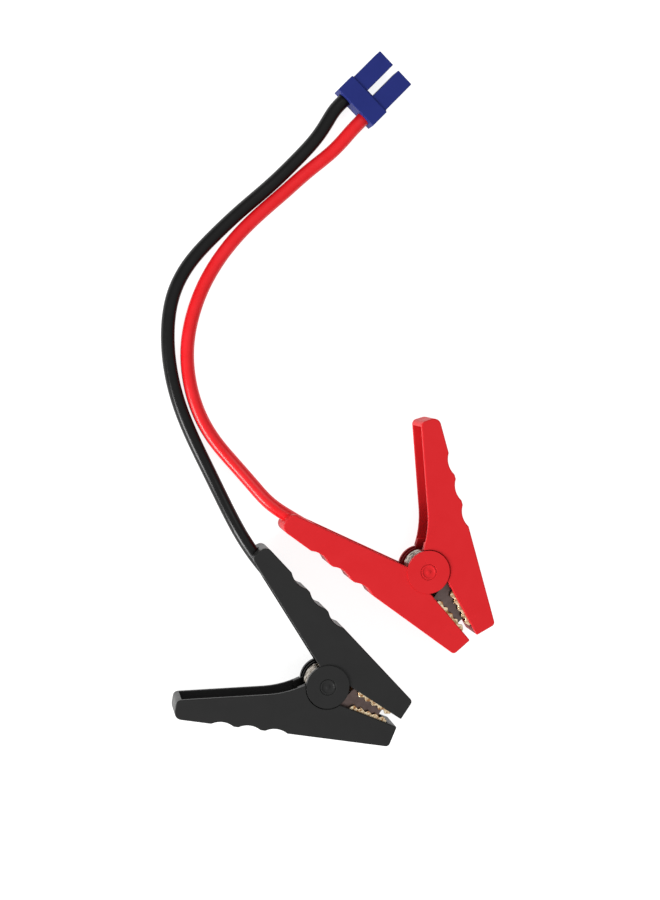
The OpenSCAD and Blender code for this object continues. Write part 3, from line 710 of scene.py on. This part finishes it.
# ---------------------------------------------------------------------------------------------------------
# The braids: a round sleeve of flat copper bundles, plaited over and under, that carries the current from one
# plate to the other past the pivot. Both ends are pressed flat under the first screws.
# Bare copper wire gone brown, with soot-dark patches of 2.5 mm
braid_copper = metal("plaited_copper_wire", "b98a66", "86604a", 2.5, 4, 0.42)

braid_tree, given, end = new_tree("plaited sleeve", Bundles=8, Turns=3.2, Bundle_width=1.25, Bundle_thickness=0.34,
                                  Weave_depth=0.16, Steps=120)
tree = braid_tree
line = add(tree, "GeometryNodeMeshToCurve", [given["Geometry"]])
line = add(tree, "GeometryNodeResampleCurve", {0: line, "Count": given["Steps"]})
line = add(tree, "GeometryNodeStoreNamedAttribute", {
    0: line, "Name": "middle", "Value": add(tree, "GeometryNodeInputPosition")}, data_type="FLOAT_VECTOR")
beside = add(tree, "ShaderNodeVectorMath", [(0, 0, 1), add(tree, "GeometryNodeInputTangent")],
             operation="CROSS_PRODUCT")
line = add(tree, "GeometryNodeStoreNamedAttribute", {0: line, "Name": "beside", "Value": beside},
           data_type="FLOAT_VECTOR")
both_ways = add(tree, "ShaderNodeMath", [given["Bundles"], 2], operation="MULTIPLY")
many = add(tree, "GeometryNodeDuplicateElements", {0: line, "Amount": both_ways}, domain="SPLINE")
index = many.outputs["Duplicate Index"]
# Half the bundles wind one way, hand = 1, and half the other, hand = -1
last = add(tree, "ShaderNodeMath", [given["Bundles"], 0.5], operation="SUBTRACT")
back = add(tree, "ShaderNodeMath", [index, last], operation="GREATER_THAN")
hand = add(tree, "ShaderNodeMath", [back, -2, 1], operation="MULTIPLY_ADD")
turn = add(tree, "ShaderNodeMath", [add(tree, "GeometryNodeSplineParameter"), given["Turns"]], operation="MULTIPLY")
turn = add(tree, "ShaderNodeMath", [turn, 2*pi], operation="MULTIPLY")
first = add(tree, "ShaderNodeMath", [index, given["Bundles"]], operation="DIVIDE")
first = add(tree, "ShaderNodeMath", [first, 2*pi], operation="MULTIPLY")
angle = add(tree, "ShaderNodeMath", [hand, turn, first], operation="MULTIPLY_ADD")
cosine = add(tree, "ShaderNodeMath", [angle], operation="COSINE")
sine = add(tree, "ShaderNodeMath", [angle], operation="SINE")
# Over and under, less where the sleeve is pressed thinner than 1.5 mm on each side of its middle
wave = add(tree, "ShaderNodeMath", [turn, given["Bundles"]], operation="MULTIPLY")
wave = add(tree, "ShaderNodeMath", [wave], operation="COSINE")
over = add(tree, "ShaderNodeMath", [hand, given["Weave depth"]], operation="MULTIPLY")
over = add(tree, "ShaderNodeMath", [over, wave], operation="MULTIPLY")
reads = {}
for name, kind in (("middle", "FLOAT_VECTOR"), ("beside", "FLOAT_VECTOR"), ("across", "FLOAT"), ("through", "FLOAT")):
    reads[name] = add(tree, "GeometryNodeInputNamedAttribute", {"Name": name}, data_type=kind)
thin = add(tree, "ShaderNodeMath", [reads["through"], 1.5], operation="DIVIDE")
thin = add(tree, "ShaderNodeMath", [1, thin], operation="MINIMUM")
over = add(tree, "ShaderNodeMath", [over, thin], operation="MULTIPLY")
high = add(tree, "ShaderNodeMath", [reads["across"], over], operation="ADD")
high = add(tree, "ShaderNodeMath", [high, cosine], operation="MULTIPLY")
deep = add(tree, "ShaderNodeMath", [reads["through"], over], operation="ADD")
deep = add(tree, "ShaderNodeMath", [deep, sine], operation="MULTIPLY")
out = add(tree, "ShaderNodeVectorMath", {0: reads["beside"], "Scale": deep}, operation="SCALE")
shift = add(tree, "ShaderNodeVectorMath", [add(tree, "ShaderNodeCombineXYZ", {"Z": high}), out], operation="ADD")
spot = add(tree, "ShaderNodeVectorMath", [reads["middle"], shift], operation="ADD")
laid = add(tree, "GeometryNodeSetPosition", {0: many, "Position": spot})
# A bundle lies flat on the sleeve: its normal is the oval's own at that angle
high = add(tree, "ShaderNodeMath", [reads["through"], cosine], operation="MULTIPLY")
deep = add(tree, "ShaderNodeMath", [reads["across"], sine], operation="MULTIPLY")
out = add(tree, "ShaderNodeVectorMath", {0: reads["beside"], "Scale": deep}, operation="SCALE")
flat = add(tree, "ShaderNodeVectorMath", [add(tree, "ShaderNodeCombineXYZ", {"Z": high}), out], operation="ADD")
laid = add(tree, "GeometryNodeSetCurveNormal", {0: laid, "Normal": flat}, mode="FREE")
oval = add(tree, "GeometryNodeCurvePrimitiveCircle", {"Resolution": 8, "Radius": 0.5})
size = add(tree, "ShaderNodeCombineXYZ", {"X": given["Bundle thickness"], "Y": given["Bundle width"], "Z": 1.0})
oval = add(tree, "GeometryNodeTransform", {0: oval, "Scale": size})
swept = add(tree, "GeometryNodeCurveToMesh", {0: laid, 1: oval, "Fill Caps": True})
finish_tree(tree, swept, braid_copper, end)

# Along one half: x, y outwards from the middle, half the width and half the thickness. The last is in front
# of the pivot, where the two halves of the line meet.
half_braid = [Vector(p) for p in ((16.8, 18.2, 4.2, 0.3), (14, 18.2, 4.2, 0.3), (11.2, 18.15, 4.1, 0.34),
                                  (9.2, 17.7, 3.7, 0.6), (8.5, 15.6, 2.7, 1.5), (8.7, 13.2, 2.1, 2.1),
                                  (9.6, 10.8, 2.05, 2.05), (11.3, 8.6, 2.05, 2.05), (13.3, 6.5, 2.05, 2.05))]
braid_front = 14.9
lower = [Vector((p.x, -p.y, p.z, p.w)) for p in half_braid]
front = Vector((braid_front*cos(closed_angle/2), -braid_front*sin(closed_angle/2), 2.05, 2.05))
upper = [Vector((p.x*cos(closed_angle) + p.y*sin(closed_angle), p.y*cos(closed_angle) - p.x*sin(closed_angle),
                 p.z, p.w)) for p in half_braid[::-1]]
braid_line = smooth(lower + [front] + upper, 6)
for colour in ("red", "black"):
    start = bpy.data.meshes.new("line")
    start.from_pydata([(p.x, p.y, 0) for p in braid_line], [(i, i + 1) for i in range(len(braid_line) - 1)], [])
    for name, part in (("across", 2), ("through", 3)):
        start.attributes.new(name, "FLOAT", "POINT").data.foreach_set("value", [p[part] for p in braid_line])
    braid = joined(f"{colour}_plaited_braid", [placed(grown(braid_tree, start), on_clamp[colour])])
    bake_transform(braid)
    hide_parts(f"{colour}_braid_strap")


# ---------------------------------------------------------------------------------------------------------
# The torsion springs: drawn spring wire, coiled five turns round the free half's hubs, with a straight leg
# down each handle. The wire is bright where the oil still covers it and brown in hard-edged patches of 2.5 mm.
spring_steel = metal("drawn_spring_steel", "c8c1b6", "54493f", 2.5, 3, 0.18, tarnish=(0.4, 0.62))
coil_r, wire_d, coil_z, coil_turns, leg_end = 8.2, 2.0, 5.6, 5, Vector((-30, 20.1))

spring_tree, given, end = new_tree("torsion spring", Coil_radius=coil_r, Wire_diameter=wire_d, Half_length=coil_z,
                                   Start=0.0, End=30.0, Lower_leg=(0.0, 0.0, 0.0), Upper_leg=(0.0, 0.0, 0.0),
                                   Steps=200)
tree = spring_tree
# The first point is the lower leg's end and the last the upper's. Share runs from 0 to 1 between them.
count = add(tree, "ShaderNodeMath", [given["Steps"], 3], operation="ADD")
line = add(tree, "GeometryNodeMeshLine", {"Count": count})
share = add(tree, "ShaderNodeMath", [add(tree, "GeometryNodeInputIndex"), 1], operation="SUBTRACT")
share = add(tree, "ShaderNodeMath", [share, given["Steps"]], operation="DIVIDE")
swing = add(tree, "ShaderNodeMath", [given["End"], given["Start"]], operation="SUBTRACT")
angle = add(tree, "ShaderNodeMath", [share, swing, given["Start"]], operation="MULTIPLY_ADD")
cosine = add(tree, "ShaderNodeMath", [angle], operation="COSINE")
sine = add(tree, "ShaderNodeMath", [angle], operation="SINE")
rise = add(tree, "ShaderNodeMath", [share, 2, -1], operation="MULTIPLY_ADD")
spot = add(tree, "ShaderNodeCombineXYZ", [
    add(tree, "ShaderNodeMath", [part, given[size]], operation="MULTIPLY")
    for part, size in ((cosine, "Coil radius"), (sine, "Coil radius"), (rise, "Half length"))])
for test, limit, leg in (("LESS_THAN", -1e-6, "Lower leg"), ("GREATER_THAN", 1 + 1e-6, "Upper leg")):
    past = add(tree, "ShaderNodeMath", [share, limit], operation=test)
    spot = add(tree, "GeometryNodeSwitch", [past, spot, given[leg]], input_type="VECTOR")
line = add(tree, "GeometryNodeSetPosition", {0: line, "Position": spot})
line = add(tree, "GeometryNodeMeshToCurve", [line])
radius = add(tree, "ShaderNodeMath", [given["Wire diameter"], 0.5], operation="MULTIPLY")
wire = add(tree, "GeometryNodeCurvePrimitiveCircle", {"Resolution": 16, "Radius": radius})
swept = add(tree, "GeometryNodeCurveToMesh", {0: line, 1: wire, "Fill Caps": True})
finish_tree(tree, swept, spring_steel, end)

leg_angle = atan2(leg_end.y, leg_end.x) - acos(coil_r/leg_end.length)
for colour in ("red", "black"):
    upper = leg_end.copy()
    upper.rotate(Matrix.Rotation(-closed_angle, 2))
    mesh = grown(spring_tree, Start=-leg_angle, End=leg_angle - closed_angle + 2*pi*coil_turns,
                 Lower_leg=(leg_end.x, -leg_end.y, -coil_z), Upper_leg=(upper.x, upper.y, coil_z))
    spring = joined(f"{colour}_coiled_spring", [placed(mesh, on_clamp[colour])])
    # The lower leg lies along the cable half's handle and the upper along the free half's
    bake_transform(spring)
    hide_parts(f"{colour}_torsion_spring")


# ---------------------------------------------------------------------------------------------------------
# The pivots: a zinc-plated steel rivet with a pressed-on washer, under a moulded cap on either side.
# A cap has a shallow ring in its face and lies level with the boss round it.
rivet = [(0, -10.4), (2.2, -10.4), (2.5, -10.1), (2.5, 10.4), (3.4, 10.4), (3.4, 10.75), (3.15, 11), (0, 11)]
washer = [(0, -11), (3.2, -11), (3.4, -10.85), (3.4, -10.45), (3.35, -10.4), (0, -10.4)]
cap = [(0, 11), (3.55, 11), (3.6, 11.1), (3.6, 11.42), (3.5, 11.56), (3.35, 11.6), (2.95, 11.6), (2.8, 11.54),
       (2.7, 11.42), (2.55, 11.36), (1.25, 11.36), (1.05, 11.4), (0.9, 11.5), (0.75, 11.56), (0, 11.58)]
for colour, plastic in (("red", red_abs), ("black", black_abs)):
    for name, outline, node in (("rivet", rivet, "pivot_pin"), ("rivet_washer", washer, "pin_washer")):
        turned = placed(lathed(name, outline, 48, zinc), on_clamp[colour])
        belongs(joined(f"{colour}_{name}", [turned]), "lead", "zinc_steel", f"{colour}_{node}")
    caps = [placed(lathed("cap", [(r, z*side) for r, z in cap], 64, plastic), on_clamp[colour])
            for side in (1, -1)]
    belongs(joined(f"{colour}_caps", caps), "lead", f"{colour}_plastic", f"{colour}_pivot_caps")
